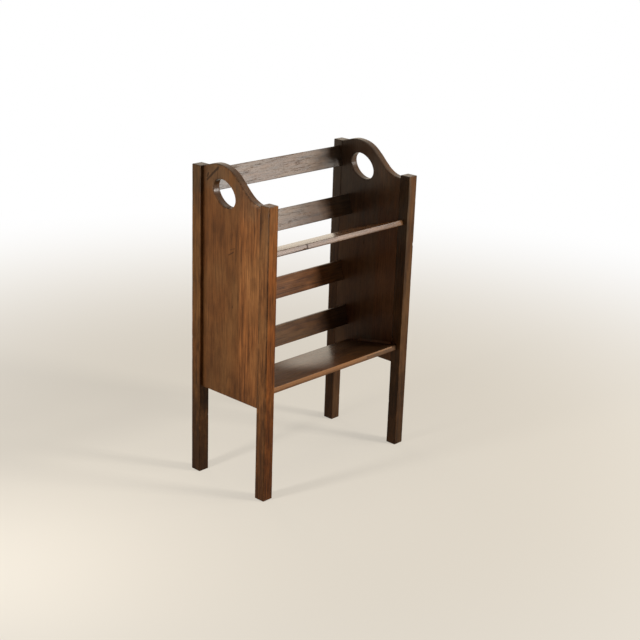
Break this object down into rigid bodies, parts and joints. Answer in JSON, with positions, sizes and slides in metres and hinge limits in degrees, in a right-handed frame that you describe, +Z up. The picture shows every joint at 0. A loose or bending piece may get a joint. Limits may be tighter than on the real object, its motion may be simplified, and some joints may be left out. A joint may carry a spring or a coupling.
{
  "type": "book trough",
  "caption": "Floor-standing wooden book trough: post-and-panel ends with humped tops and oval hand holes carry sloping shelves backed by slats.",
  "frame": {"origin": "on the floor, under the middle of the trough", "axes": "+Z up, +X to the right of a person facing the front, +Y to the back, so the shelves open towards -Y"},
  "size_m": [0.4708, 0.235, 0.722],
  "materials": {
    "stained_oak_post": "dark brown stain under satin varnish",
    "stained_oak_panel": "dark brown stain under satin varnish",
    "stained_oak_shelf": "dark brown stain under satin varnish",
    "stained_oak_slat": "dark brown stain under satin varnish",
    "bare_beech_dowel": "bare"
  },
  "bodies": {
    "root": {"left_front_post": "stained_oak_post", "left_back_post": "stained_oak_post", "right_front_post": "stained_oak_post", "right_back_post": "stained_oak_post", "left_end_panel": "stained_oak_panel", "right_end_panel": "stained_oak_panel", "upper_shelf": "stained_oak_shelf", "lower_shelf": "stained_oak_shelf", "upper_tier_top_slat": "stained_oak_slat", "upper_tier_bottom_slat": "stained_oak_slat", "lower_tier_top_slat": "stained_oak_slat", "lower_tier_bottom_slat": "stained_oak_slat", "left_front_dowel_low": "bare_beech_dowel", "left_front_dowel_lower_middle": "bare_beech_dowel", "left_front_dowel_upper_middle": "bare_beech_dowel", "left_front_dowel_high": "bare_beech_dowel", "left_back_dowel_low": "bare_beech_dowel", "left_back_dowel_lower_middle": "bare_beech_dowel", "left_back_dowel_upper_middle": "bare_beech_dowel", "left_back_dowel_high": "bare_beech_dowel", "right_front_dowel_low": "bare_beech_dowel", "right_front_dowel_lower_middle": "bare_beech_dowel", "right_front_dowel_upper_middle": "bare_beech_dowel", "right_front_dowel_high": "bare_beech_dowel", "right_back_dowel_low": "bare_beech_dowel", "right_back_dowel_lower_middle": "bare_beech_dowel", "right_back_dowel_upper_middle": "bare_beech_dowel", "right_back_dowel_high": "bare_beech_dowel"}
  },
  "joints": []
}
